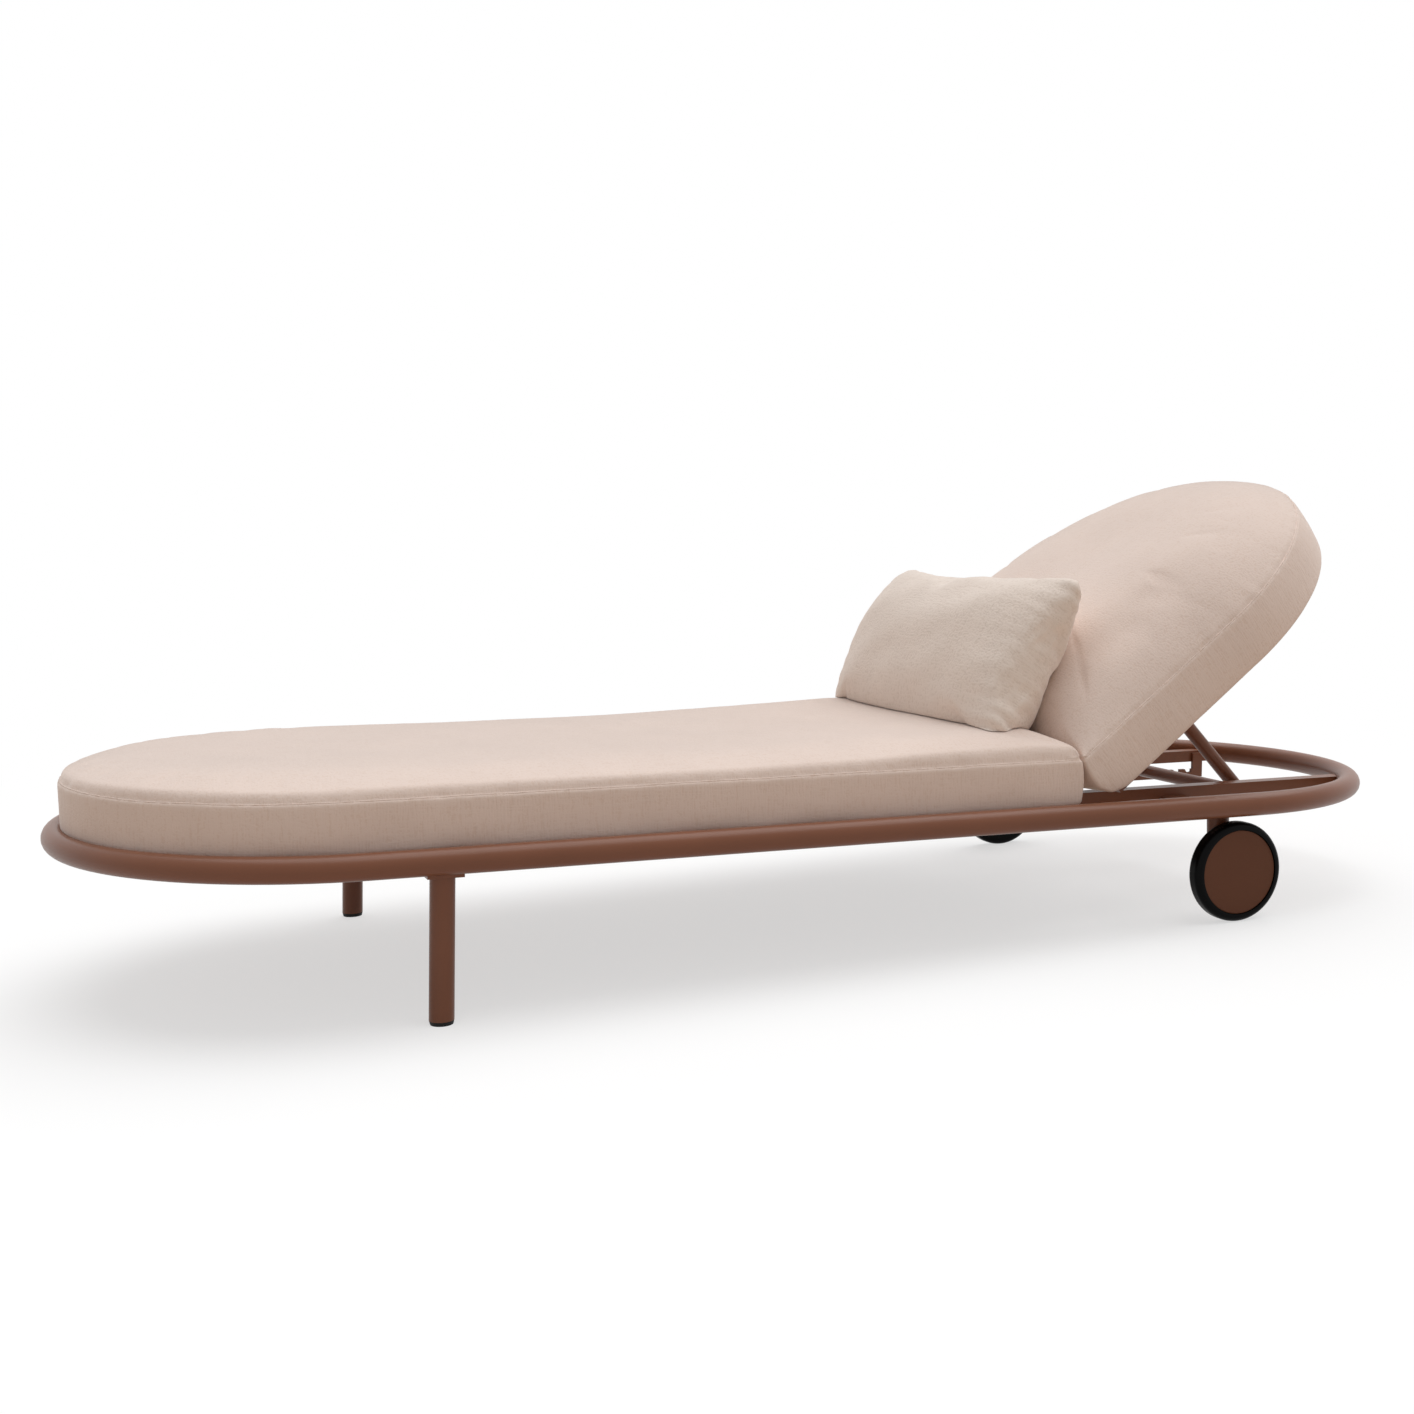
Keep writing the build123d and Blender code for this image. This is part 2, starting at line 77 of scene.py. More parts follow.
PILLOW_HALF_WIDTH = 0.283
PILLOW_HALF_HEIGHT = 0.146
PILLOW_HALF_DEPTH = 0.078
PILLOW_PULL = 0.008
PILLOW_SLUMP = 0.034
PILLOW_LEAN = radians(55.5)
PILLOW_PLACE = (0.344, 0.0, 0.405)
REST_GAP = 0.0012
PILLOW_COLUMNS = 88
PILLOW_ROWS = 52
PILLOW_PRESSURE = 3.0
PILLOW_GROWTH = 0.012
PILLOW_CAP = 0.010
CUSHION_PRESSURE = 4.0
CLOTH_FRAMES = 20
CLOTH_STIFFNESS = 18
CLOTH_SHEAR = 6
CLOTH_BENDING = 0.6
REST_REACH = 0.08
VALLEY_INSET = 0.085
VALLEY_WIDTH = 0.032

# Colours as they look, from 0 to 255
COATING_COLOUR = (126, 79, 56)
CUSHION_COLOUR = (230, 211, 200)
CUSHION_THREAD = (220, 197, 182)
PILLOW_COLOUR = (236, 222, 211)
PILLOW_THREAD = (220, 204, 191)
TYRE_COLOUR = (5, 5, 6)
WHEEL_COLOUR = (38, 34, 33)
COVER_COLOUR = (104, 66, 48)
GLIDE_COLOUR = (26, 25, 25)
STEEL_COLOUR = (172, 172, 174)


def linear(colour):
    """A colour as it looks, as the shader's linear values."""
    shares = [channel / 255 for channel in colour]
    return [s / 12.92 if s < 0.04045 else ((s + 0.055) / 1.055) ** 2.4 for s in shares] + [1]


# Materials


def new_material(name, roughness):
    material = bpy.data.materials.new(name)
    material.use_nodes = True
    shader = material.node_tree.nodes["Principled BSDF"]
    shader.inputs["Roughness"].default_value = roughness
    return material, material.node_tree, shader


def add_noise(tree, coordinates, scale, detail=3.0):
    node = tree.nodes.new("ShaderNodeTexNoise")
    node.inputs["Scale"].default_value = scale
    node.inputs["Detail"].default_value = detail
    tree.links.new(coordinates, node.inputs["Vector"])
    return node.outputs["Fac"]


def add_ramp(tree, factor, low, high, first, second):
    """Blends two colours as the factor goes from low to high."""
    ramp = tree.nodes.new("ShaderNodeValToRGB")
    ramp.color_ramp.elements[0].position = low
    ramp.color_ramp.elements[0].color = first
    ramp.color_ramp.elements[1].position = high
    ramp.color_ramp.elements[1].color = second
    tree.links.new(factor, ramp.inputs["Fac"])
    return ramp.outputs["Color"]


def add_mix(tree, kind, first, second, share):
    mix = tree.nodes.new("ShaderNodeMix")
    mix.data_type = "RGBA"
    mix.blend_type = kind
    mix.inputs["Factor"].default_value = share
    tree.links.new(first, mix.inputs["A"])
    tree.links.new(second, mix.inputs["B"])
    return mix.outputs["Result"]


def add_math(tree, operation, first, second):
    node = tree.nodes.new("ShaderNodeMath")
    node.operation = operation
    for socket, value in zip(node.inputs, (first, second)):
        if isinstance(value, (int, float)):
            socket.default_value = value
        else:
            tree.links.new(value, socket)
    return node.outputs["Value"]


def add_bump(tree, shader, height, strength, distance):
    bump = tree.nodes.new("ShaderNodeBump")
    bump.inputs["Strength"].default_value = strength
    bump.inputs["Distance"].default_value = distance
    tree.links.new(height, bump.inputs["Height"])
    tree.links.new(bump.outputs["Normal"], shader.inputs["Normal"])


def object_coordinates(tree):
    return tree.nodes.new("ShaderNodeTexCoord").outputs["Object"]


def shade(colour, factor):
    return [channel * factor for channel in linear(colour)[:3]] + [1]


def coating_material(name, colour, roughness, grain, gloss):
    """Powder coat or moulded plastic: a fine pebbled skin with a faint drift in tone."""
    material, tree, shader = new_material(name, roughness)
    shader.inputs["Specular IOR Level"].default_value = gloss
    where = object_coordinates(tree)
    drift = add_noise(tree, where, 9.0)
    speck = add_noise(tree, where, grain, 2.0)
    tone = add_ramp(tree, drift, 0.35, 0.7, shade(colour, 0.93), shade(colour, 1.06))
    fleck = add_ramp(tree, speck, 0.3, 0.75, shade(colour, 0.9), shade(colour, 1.08))
    colours = add_mix(tree, "MIX", tone, fleck, 0.4)
    tree.links.new(colours, shader.inputs["Base Color"])
    rough = add_math(tree, "MULTIPLY_ADD", speck, 0.12)
    rough.node.inputs[2].default_value = roughness - 0.06
    tree.links.new(rough, shader.inputs["Roughness"])
    add_bump(tree, shader, speck, 0.25, 0.0004)
    return material


def steel_material():
    material, tree, shader = new_material("plated_steel_look", 0.34)
    shader.inputs["Metallic"].default_value = 1.0
    where = object_coordinates(tree)
    scratch = add_noise(tree, where, 600.0)
    tone = add_ramp(tree, scratch, 0.3, 0.8, shade(STEEL_COLOUR, 0.85), linear(STEEL_COLOUR))
    tree.links.new(tone, shader.inputs["Base Color"])
    add_bump(tree, shader, scratch, 0.15, 0.0002)
    return material


def add_threads(tree, where, stretch, pitch):
    """Uneven threads that run along one axis: noise drawn out along it."""
    scale = tree.nodes.new("ShaderNodeVectorMath")
    scale.operation = "MULTIPLY"
    scale.inputs[1].default_value = stretch
    tree.links.new(where, scale.inputs[0])
    return add_noise(tree, scale.outputs["Vector"], 0.55 / pitch, 1.0)


def fabric_material(name, place, colour, thread, pitch, relief, sheen):
    """Plain weave of uneven yarn, square to the piece's own frame, on every face of it."""
    material, tree, shader = new_material(name, 0.9)
    shader.inputs["Sheen Weight"].default_value = sheen
    shader.inputs["Sheen Roughness"].default_value = 0.4
    shader.inputs["Sheen Tint"].default_value = (1.0, 0.96, 0.94, 1)
    shader.inputs["Specular IOR Level"].default_value = 0.15
    turned = tree.nodes.new("ShaderNodeMapping")
    turned.inputs["Rotation"].default_value = place.to_3x3().inverted().to_euler()
    tree.links.new(object_coordinates(tree), turned.inputs["Vector"])
    where = turned.outputs["Vector"]
    along = add_threads(tree, where, (0.12, 1, 1), pitch)
    across = add_threads(tree, where, (1, 0.12, 1), pitch)
    upright = add_threads(tree, where, (1, 1, 0.12), pitch)
    weave = add_math(tree, "ADD", add_math(tree, "MAXIMUM", along, across), upright)
    cloudy = add_noise(tree, where, 14.0)
    threads = add_ramp(tree, weave, 0.85, 1.35, linear(thread), linear(colour))
    patches = add_ramp(tree, cloudy, 0.3, 0.7, shade(colour, 0.97), shade(colour, 1.03))
    tree.links.new(add_mix(tree, "MIX", threads, patches, 0.5), shader.inputs["Base Color"])
    add_bump(tree, shader, weave, relief, 0.0012)
    return material


def dress_frame():
    for entry in frame["record"]["subparts"]:
        node = frame["nodes"][entry["node"]]
        node.data.materials.clear()
        node.data.materials.append(SLOT_LOOKS[entry["material_slot"]])


# Local frames, read from the flat bars that the cushions lie on


def bar_frame(node):
    """Frame with Z square to a flat bar's broad face, Y across the lounger, X to the head."""
    faces = frame["nodes"][node].data.polygons
    broad = max(faces, key=lambda face: face.area)
    up = broad.normal if broad.normal.z > 0 else -broad.normal
    across = Vector((0, 1, 0))
    along = across.cross(up)
    return Matrix((along, across, up)).transposed().to_4x4()


def local_box(node, place):
    """Lowest and highest corner of a CAD node in a local frame."""
    inverse = place.inverted()
    points = np.array([inverse @ v.co for v in frame["nodes"][node].data.vertices])
    return Vector(points.min(0)), Vector(points.max(0))


# Soft pieces


def half_oval(length, half_width, inset, end_inset, corner):
    """Closed outline, from the middle of a straight end at x = 0 round a half-round end.

    The points mirror each other across the length, so that a loop can be closed with a strip.
    """
    reach = half_width - inset
    nose = length - half_width
    turn = min(corner, 0.8 * reach)
    side = []
    for step in range(END_STEPS):
        side.append((end_inset, -(reach - turn) * step / END_STEPS))
    for step in range(CORNER_STEPS):
        angle = (pi / 2) * step / CORNER_STEPS
        side.append((end_inset + turn * (1 - cos(angle)), -(reach - turn) - turn * sin(angle)))
    straight = nose - end_inset - turn
    count = max(2, round((length - half_width) / SPACING))
    for step in range(count):
        side.append((end_inset + turn + straight * step / count, -reach))
    for step in range(NOSE_STEPS):
        angle = (pi / 2) * step / NOSE_STEPS
        side.append((nose + reach * sin(angle), -reach * cos(angle)))
    mirrored = [(x, -y) for x, y in side[:0:-1]]
    return side + [(nose + reach, 0.0)] + mirrored


def cushion_profile(half_width, sewn):
    """Loops of a cushion as (inset, level, end inset, kind), from the base to the top.

    The crown's loops have no level, because crown_level gives the height of each of their points.
    """
    rounding, depth = sewn["rounding"], sewn["depth"]
    loops = []
    for share in BASE_SHARES:
        inset = share * half_width
        loops.append((inset, 0.0, 0.5 * inset, "base"))
    for step in range(BASE_STEPS + 1):
        angle = (pi / 2) * step / BASE_STEPS
        inset = rounding * (1 - sin(angle))
        loops.append((inset, rounding * (1 - cos(angle)), inset, "box"))
    wall = depth - 0.004 - rounding
    for step in range(1, WALL_STEPS + 1):
        share = step / WALL_STEPS
        inset = -sewn["side_bulge"] * sin(pi * share)
        loops.append((inset, rounding + wall * share, inset, "box"))
    loops.append((0.0008, depth - SEAM_STAND, 0.0008, "box"))
    loops.append((SEAM_TUCK, depth, SEAM_TUCK, "seam"))
    turn = 0.8 * sewn["roll"]
    insets = [turn * (1 - cos((pi / 2) * step / ROLL_STEPS)) for step in range(ROLL_STEPS)]
    spacing, inset = FIRST_SPACING, turn
    while inset < 0.95 * half_width:
        insets.append(inset)
        spacing = min(spacing * SPACING_GROWTH, SPACING)
        inset += spacing
    for inset in insets:
        end = 0.3 * inset + END_SHIFT * (1 - exp(-inset / END_CURVE))
        loops.append((inset + SEAM_STAND, None, end + SEAM_STAND, "crown"))
    return loops


def crown_level(x, y, length, half_width, sewn):
    """Height of the sewn crown over a point: it rises from the seam all round."""
    nose = length - half_width
    side = half_width - SEAM_STAND - (abs(y) if x < nose else ((x - nose) ** 2 + y * y) ** 0.5)
    roll, turn = sewn["roll"], 0.8 * sewn["roll"]
    share = min(max(min(side, x - SEAM_STAND) / turn, 0.02), 1.0)
    round_up = roll * (1 - (1 - share) ** 2) ** 0.5
    rise = 1 - (1 - max(side, 0.0) / half_width) ** sewn["fullness"]
    rise *= 1 - exp(-x / sewn["end_run"])
    return sewn["depth"] + round_up + (sewn["crown"] - roll) * rise


def loop_mesh(name, loops):
    """Closed mesh through stacked closed loops, each mirrored in its first point's axis."""
    mesh = bmesh.new()
    rings = [[mesh.verts.new(point) for point in loop] for loop in loops]
    count = len(rings[0])
    for lower, upper in zip(rings, rings[1:]):
        for index in range(count):
            after = (index + 1) % count
            mesh.faces.new((lower[index], lower[after], upper[after], upper[index]))
    for ring in (rings[0], rings[-1]):
        half = count // 2
        mesh.faces.new((ring[0], ring[1], ring[-1]))
        for index in range(1, half - 1):
            mesh.faces.new((ring[index], ring[index + 1], ring[-index - 1], ring[-index]))
        mesh.faces.new((ring[half - 1], ring[half], ring[half + 1]))
    bmesh.ops.recalc_face_normals(mesh, faces=mesh.faces)
    return finish_mesh(name, mesh)


def finish_mesh(name, mesh):
    data = bpy.data.meshes.new(name)
    mesh.to_mesh(data)
    mesh.free()
    piece = bpy.data.objects.new(name, data)
    bpy.context.scene.collection.objects.link(piece)
    return piece


def coordinates(mesh):
    flat = np.zeros(len(mesh.vertices) * 3)
    mesh.vertices.foreach_get("co", flat)
    return flat.reshape(-1, 3)


def normals(mesh):
    flat = np.zeros(len(mesh.vertices) * 3)
    mesh.vertices.foreach_get("normal", flat)
    return flat.reshape(-1, 3)


def set_coordinates(mesh, points):
    mesh.vertices.foreach_set("co", points.ravel())
    mesh.update()


def wander(points, size, seed):
    """Smooth noise between about -1 and 1 at each point, with lumps of the given size."""
    shift = Vector((seed * 7.3, seed * 3.1, seed * 5.7))
    return np.array([noise.noise(Vector(point) / size + shift) for point in points]) * 2


def smooth_step(value, low, high):
    share = np.clip((value - low) / (high - low), 0, 1)
    return share * share * (3 - 2 * share)


def puff(piece, pin_weights, pressure, growth, cap):
    """Inflates a closed cover as cloth, held at its pins, and keeps each point within the cap."""
    start = coordinates(piece.data)
    pins = piece.vertex_groups.new(name="pins")
    for index, weight in enumerate(pin_weights):
        if weight > 0:
            pins.add([index], float(weight), "REPLACE")
    cloth = piece.modifiers.new("cloth", "CLOTH")
    settings = cloth.settings
    settings.quality = 6
    settings.mass = 0.3
    settings.tension_stiffness = CLOTH_STIFFNESS
    settings.compression_stiffness = CLOTH_STIFFNESS
    settings.shear_stiffness = CLOTH_SHEAR
    settings.bending_stiffness = CLOTH_BENDING
    settings.use_pressure = True
    settings.uniform_pressure_force = pressure
    settings.shrink_min = -growth
    settings.vertex_group_mass = "pins"
    settings.effector_weights.gravity = 0
    cloth.collision_settings.use_collision = False
    cloth.point_cache.frame_start = 1
    cloth.point_cache.frame_end = CLOTH_FRAMES
    for step in range(1, CLOTH_FRAMES + 1):
        bpy.context.scene.frame_set(step)
    graph = bpy.context.evaluated_depsgraph_get()
    moved = coordinates(piece.evaluated_get(graph).data)
    piece.modifiers.clear()
    piece.vertex_groups.clear()
    bpy.context.scene.frame_set(1)
    shift = moved - start
    reach = np.linalg.norm(shift, axis=1, keepdims=True)
    shift *= np.minimum(1.0, cap / np.maximum(reach, 1e-9))
    set_coordinates(piece.data, start + shift)


def smooth(piece):
    for face in piece.data.polygons:
        face.use_smooth = True


def subdivide(piece):
    modifier = piece.modifiers.new("finer", "SUBSURF")
    modifier.levels = 1
    modifier.render_levels = 1


def tube_along(name, points, radius, material):
    """Closed round cord through a loop of points."""
    curve = bpy.data.curves.new(name, "CURVE")
    curve.dimensions = "3D"
    curve.bevel_depth = radius
    curve.bevel_resolution = 2
    spline = curve.splines.new("POLY")
    spline.points.add(len(points) - 1)
    for target, point in zip(spline.points, points):
        target.co = (*point, 1)
    spline.use_cyclic_u = True
    piece = bpy.data.objects.new(name, curve)
    bpy.context.scene.collection.objects.link(piece)
    curve.materials.append(material)
    return piece


def bulge_end(points, half_width, sewn):
    """Swells the straight end outwards, lifts part of the crown and turns up the end's heel."""
    x, y, z = points.T
    depth = sewn["depth"]
    across = 1 - np.clip(np.abs(y) / half_width, 0, 1) ** sewn["end_spread"]
    swell = np.sin(pi * np.clip(z / depth, 0, 1)) ** 0.7
    near = 1 - smooth_step(x, 0.0, 0.07)
    push = (sewn["end_corner_bulge"] + sewn["end_bulge"] * across) * swell * near
    lift = smooth_step(x, sewn["lift_start"], sewn["lift_full"])
    lift *= 1 - smooth_step(x, sewn["lift_full"], sewn["lift_reach"])
    above = np.clip((z - depth) / sewn["crown"], 0, 1)
    heel = np.clip(1 - x / 0.035, 0, 1) * np.clip(1 - z / 0.035, 0, 1)
    points[:, 0] += sewn["heel"] * heel - push
    points[:, 2] += sewn["lift"] * lift * above + sewn["heel"] * heel


def build_cushion(name, node, body, place, sewn, fabric, mirrored):
    """Boxed cushion with a crowned top, a seam round the box and a rounded base edge."""
    low, high = local_box(node, place)
    length = high.x - low.x
    half_width = (high.y - low.y) / 2
    if mirrored:
        turn = Matrix.Translation((high.x, 0, low.z)) @ Matrix.Rotation(pi, 4, "Z")
    else:
        turn = Matrix.Translation((low.x, 0, low.z))
    profile = cushion_profile(half_width, sewn)
    loops = []
    for inset, level, end_inset, kind in profile:
        corner = PLAN_CORNER + 0.45 * max(inset, 0)
        outline = half_oval(length, half_width, inset, end_inset, corner)
        if kind == "crown":
            levels = [crown_level(x, y, length, half_width, sewn) for x, y in outline]
        else:
            levels = [level] * len(outline)
        loops.append([(*point, height) for point, height in zip(outline, levels)])
    count = len(loops[0])
    piece = loop_mesh(name, loops)
    points = coordinates(piece.data)
    bulge_end(points, half_width, sewn)
    set_coordinates(piece.data, points)
    kinds = np.repeat([PIN_WEIGHTS[kind] for *rest, kind in profile], count)
    puff(piece, kinds, CUSHION_PRESSURE, sewn["growth"], sewn["cap"])
    crease_cover(piece, profile, count, sewn)
    piece.data.materials.append(fabric)
    smooth(piece)
    subdivide(piece)
    row = [kind for *rest, kind in profile].index("seam")
    seam = coordinates(piece.data)[row * count:(row + 1) * count]
    piping = tube_along(f"{name}_piping", seam, PIPING_RADIUS, fabric)
    for part in (piece, piping):
        part.data.transform(place @ turn)
        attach(part, body)
    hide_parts(node)
    return piece


def crease_cover(piece, profile, count, sewn):
    """Small puckers beside the seam, broad soft hollows over the crown and a valley at each side."""
    points = coordinates(piece.data)
    outward = normals(piece.data)
    row = [kind for *rest, kind in profile].index("seam")
    seam = points[row * count:(row + 1) * count]
    column = np.arange(len(points)) % count
    away = np.linalg.norm(points - seam[column], axis=1)
    side = np.where(points[:, 2] > sewn["depth"], 1.0, 0.55)
    pucker = wander(seam, 0.012, 1)[column] * np.exp(-away / 0.011) * side
    crown = smooth_step(points[:, 2], sewn["depth"], sewn["depth"] + sewn["crown"])
    broad = wander(points, 0.16, 2) * crown
    box = wander(points, 0.09, 3) * (1 - crown) * smooth_step(points[:, 2], 0.0, 0.02)
    shift = PUCKER * pucker + sewn["hollows"] * broad + 0.0008 * box
    side_gap = points[:, 1].max() - np.abs(points[:, 1])
    valley = np.exp(-(((side_gap - VALLEY_INSET) / VALLEY_WIDTH) ** 2))
    valley *= 1 - smooth_step(points[:, 0], 0.18, 0.42)
    shift -= sewn["valley"] * valley * crown * (1 + 0.5 * wander(points, 0.07, 7))
    set_coordinates(piece.data, points + outward * shift[:, None])


def pillow_point(across, up, face):
    """Point of the pillow's cover; the face is 1 in front, -1 behind and 0 at the seam."""
    corner = 1 - 0.05 * abs(across * up) ** 7
    width = PILLOW_HALF_WIDTH - PILLOW_PULL * (1 - abs(up) ** 2.4)
    pull = PILLOW_PULL if up > 0 else -PILLOW_PULL
    height = PILLOW_HALF_HEIGHT - pull * (1 - abs(across) ** 2.4)
    thick = (1 - abs(across) ** 3.4) ** 0.5 * (1 - abs(up) ** 3.0) ** 0.5
    sag = 1 - 0.16 * up
    slump = PILLOW_SLUMP * (1 - across**4) * smooth_step(-up, -0.3, 1.0)
    level = face * PILLOW_HALF_DEPTH * thick * sag + slump
    return Vector((up * height * corner, across * width * corner, level))


def pillow_grid(count):
    """Shares from -1 to 1, closer together at the edges."""
    return [sin(pi / 2 * (2 * step / count - 1)) for step in range(count + 1)]


def build_pillow(seat_pad, back_pad, leaning, fabric):
    """Two panels sewn at a knife edge round a filling, leaning on the seat and the back."""
    mesh = bmesh.new()
    columns, rows = pillow_grid(PILLOW_COLUMNS), pillow_grid(PILLOW_ROWS)
    front, rear = {}, {}
    for i, across in enumerate(columns):
        for j, up in enumerate(rows):
            edge = i in (0, len(columns) - 1) or j in (0, len(rows) - 1)
            front[i, j] = mesh.verts.new(pillow_point(across, up, 0 if edge else 1))
            rear[i, j] = front[i, j] if edge else mesh.verts.new(pillow_point(across, up, -1))
    for i in range(len(columns) - 1):
        for j in range(len(rows) - 1):
            for panel in (front, rear):
                mesh.faces.new((panel[i, j], panel[i + 1, j], panel[i + 1, j + 1], panel[i, j + 1]))
    bmesh.ops.recalc_face_normals(mesh, faces=mesh.faces)
    piece = finish_mesh("pillow_cover", mesh)
    free = np.zeros(len(piece.data.vertices))
    puff(piece, free, PILLOW_PRESSURE, PILLOW_GROWTH, PILLOW_CAP)
    crease_pillow(piece)
    piece.data.transform(Matrix.Translation(PILLOW_PLACE) @ leaning)
    rest_on(piece, (seat_pad, back_pad))
    piece.data.materials.append(fabric)
    smooth(piece)
    subdivide(piece)
    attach(piece, "pillow")
    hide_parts("pillow")


def crease_pillow(piece):
    """Gathers along the two short seams, and slack folds over the faces."""
    points = coordinates(piece.data)
    outward = normals(piece.data)
    away = PILLOW_HALF_WIDTH - np.abs(points[:, 1])
    waver = wander(points * (1, 0.25, 1), 0.05, 4) * 0.9
    gathers = np.sin(points[:, 0] / 0.0043 + 2.2 * waver + 3 * np.sign(points[:, 1]))
    gathers *= np.exp(-away / 0.035) * (0.6 + 0.4 * wander(points, 0.04, 5))
    rim = PILLOW_HALF_HEIGHT - np.abs(points[:, 0])
    short = np.sin(points[:, 1] / 0.0065 + 2.5 * waver) * np.exp(-rim / 0.02)
    tilted = points @ np.array(((1, 0.45, 0), (-0.45, 1, 0), (0, 0, 1)))
    folds = wander(tilted * (1, 0.4, 1), 0.06, 6)
    slack = smooth_step(np.abs(points[:, 2]), 0.012, 0.05)
    shift = 0.0030 * gathers + 0.0012 * short + 0.0022 * folds * slack
    set_coordinates(piece.data, points + outward * shift[:, None])


def rest_on(piece, others):
    """Moves each point that lies inside another piece to a thin gap from its nearest surface."""
    points = coordinates(piece.data)
    graph = bpy.context.evaluated_depsgraph_get()
    for other in others:
        tree = BVHTree.FromObject(other, graph)
        for index, point in enumerate(points):
            near, normal, *rest = tree.find_nearest(Vector(point), REST_REACH)
            if near and (Vector(point) - near).dot(normal) < REST_GAP:
                points[index] = near + normal * REST_GAP
    set_coordinates(piece.data, points)


# Stage


def build_camera():
    """Camera at the height of a standing viewer's waist, left of the foot end, looking across."""
    place = Vector((-1.027, -2.5669, 0.651))
    yaw, pitch, roll = 0.355, -0.1124, -0.0331
    forward = Vector((sin(yaw) * cos(pitch), cos(yaw) * cos(pitch), sin(pitch)))
    level = Vector((cos(yaw), -sin(yaw), 0))
    upright = level.cross(forward)
    right = level * cos(roll) + upright * sin(roll)
    up = upright * cos(roll) - level * sin(roll)
    lens = bpy.data.cameras.new("camera")
    lens.sensor_width = 36
    lens.lens = 45.45
    camera = bpy.data.objects.new("camera", lens)
    camera.matrix_world = Matrix.Translation(place) @ Matrix((right, up, -forward)).transposed().to_4x4()
    bpy.context.scene.collection.objects.link(camera)
    bpy.context.scene.camera = camera


def add_seen(tree):
    """1 for the rays that see a background: the camera's, mirrored and refracted ones."""
    path = tree.nodes.new("ShaderNodeLightPath")
    seen = add_math(tree, "MAXIMUM", path.outputs["Is Camera Ray"], path.outputs["Is Glossy Ray"])
    return add_math(tree, "MAXIMUM", seen, path.outputs["Is Transmission Ray"])


def build_floor():
    """Pale floor that keeps the shadow and fades to plain white away from the object."""
    mesh = bmesh.new()
    bmesh.ops.create_grid(mesh, x_segments=1, y_segments=1, size=40)
    floor = finish_mesh("floor", mesh)
    material, tree, shader = new_material("floor_look", 0.9)
    shader.inputs["Specular IOR Level"].default_value = 0.0
    seen = add_seen(tree)
    tone = add_ramp(tree, seen, 0.0, 1.0, (0.60, 0.49, 0.40, 1), (0.95, 0.95, 0.95, 1))
    tree.links.new(tone, shader.inputs["Base Color"])
    white = tree.nodes.new("ShaderNodeEmission")
    white.inputs["Color"].default_value = (1, 1, 1, 1)
    white.inputs["Strength"].default_value = 1.0
    reach = tree.nodes.new("ShaderNodeVectorMath")
    reach.operation = "LENGTH"
    tree.links.new(object_coordinates(tree), reach.inputs[0])
    fade = tree.nodes.new("ShaderNodeMapRange")
    fade.interpolation_type = "SMOOTHSTEP"
    fade.inputs["From Min"].default_value = 1.2
    fade.inputs["From Max"].default_value = 2.6
    fade.inputs["To Min"].default_value = 0.6
    fade.inputs["To Max"].default_value = 1.0
    tree.links.new(reach.outputs["Value"], fade.inputs["Value"])
    mix = tree.nodes.new("ShaderNodeMixShader")
    tree.links.new(add_math(tree, "MULTIPLY", seen, fade.outputs["Result"]), mix.inputs["Fac"])
    tree.links.new(shader.outputs["BSDF"], mix.inputs[1])
    tree.links.new(white.outputs["Emission"], mix.inputs[2])
    tree.links.new(mix.outputs["Shader"], tree.nodes["Material Output"].inputs["Surface"])
    floor.data.materials.append(material)


def build_world():
    """White to the camera and in reflections, and a soft even sky for the light."""
    world = bpy.data.worlds.new("studio")
    bpy.context.scene.world = world
    world.use_nodes = True
    tree = world.node_tree
    sky = tree.nodes["Background"]
    sky.inputs["Color"].default_value = (1.0, 1.0, 1.0, 1)
    sky.inputs["Strength"].default_value = 0.38
    white = tree.nodes.new("ShaderNodeBackground")
    white.inputs["Color"].default_value = (1, 1, 1, 1)
    white.inputs["Strength"].default_value = 1.0
    mix = tree.nodes.new("ShaderNodeMixShader")
    tree.links.new(add_seen(tree), mix.inputs["Fac"])
    tree.links.new(sky.outputs["Background"], mix.inputs[1])
    tree.links.new(white.outputs["Background"], mix.inputs[2])
    tree.links.new(mix.outputs["Shader"], tree.nodes["World Output"].inputs["Surface"])


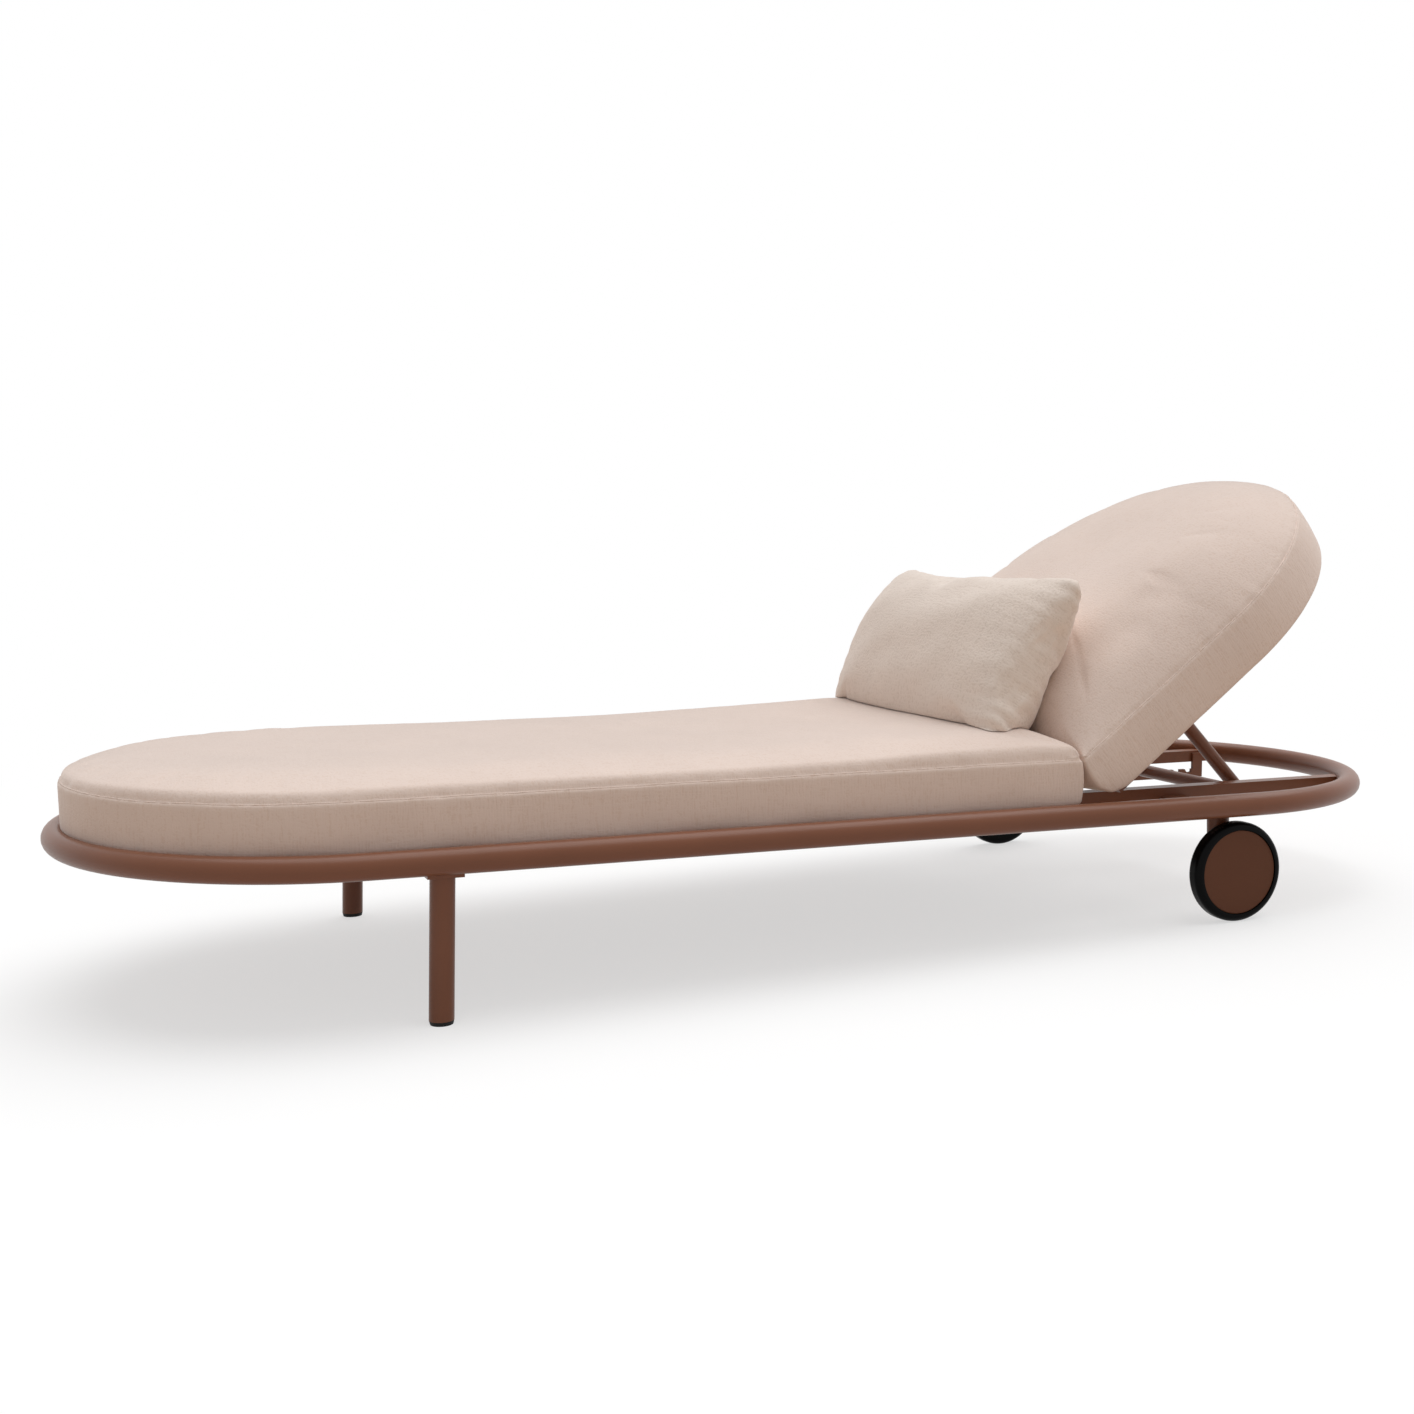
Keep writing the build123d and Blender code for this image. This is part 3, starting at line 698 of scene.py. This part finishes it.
def build_lamp(direction, spread, strength):
    """Wide soft overhead light, from a direction."""
    light = bpy.data.lights.new("overhead", "SUN")
    light.angle = radians(spread)
    light.energy = strength
    lamp = bpy.data.objects.new("overhead", light)
    lamp.rotation_euler = Vector(direction).to_track_quat("Z", "Y").to_euler()
    bpy.context.scene.collection.objects.link(lamp)


def build_stage():
    build_camera()
    build_floor()
    build_world()
    build_lamp((0.25, 0.15, 0.96), 70, 2.3)


deck = bar_frame("seat_slat_05")
back = bar_frame("back_slat_2")
leaning = Matrix.Rotation(-PILLOW_LEAN, 4, "Y") @ Matrix.Rotation(pi, 4, "X")

coating = coating_material("frame_coating_look", COATING_COLOUR, 0.34, 1100.0, 0.3)
cover = coating_material("cover_look", COVER_COLOUR, 0.5, 900.0, 0.15)
rubber = coating_material("tyre_look", TYRE_COLOUR, 0.3, 700.0, 0.07)
moulded = coating_material("wheel_look", WHEEL_COLOUR, 0.5, 800.0, 0.2)
glide = coating_material("glide_look", GLIDE_COLOUR, 0.55, 800.0, 0.2)
steel = steel_material()
CUSHION_LOOK = (CUSHION_COLOUR, CUSHION_THREAD, 0.0016, 0.35, 0.6)
seat_fabric = fabric_material("seat_fabric_look", deck, *CUSHION_LOOK)
back_fabric = fabric_material("back_fabric_look", back, *CUSHION_LOOK)
pillow_fabric = fabric_material("pillow_look", leaning, PILLOW_COLOUR, PILLOW_THREAD, 0.0020, 0.6, 0.4)

SLOT_LOOKS = {
    "frame_coating": coating,
    "plated_steel": steel,
    "tyre_rubber": rubber,
    "wheel_plastic": moulded,
    "cover_plastic": cover,
    "glide_plastic": glide,
    "cushion_fabric": seat_fabric,
    "pillow_fabric": pillow_fabric,
}

dress_frame()
seat_pad = build_cushion("seat_pad", "seat_cushion", "frame", deck, SEAT_SEWN, seat_fabric, True)
back_pad = build_cushion("back_pad", "back_cushion", "backrest", back, BACK_SEWN, back_fabric, False)
build_pillow(seat_pad, back_pad, leaning, pillow_fabric)
build_stage()
bpy.context.scene.view_settings.view_transform = "Standard"
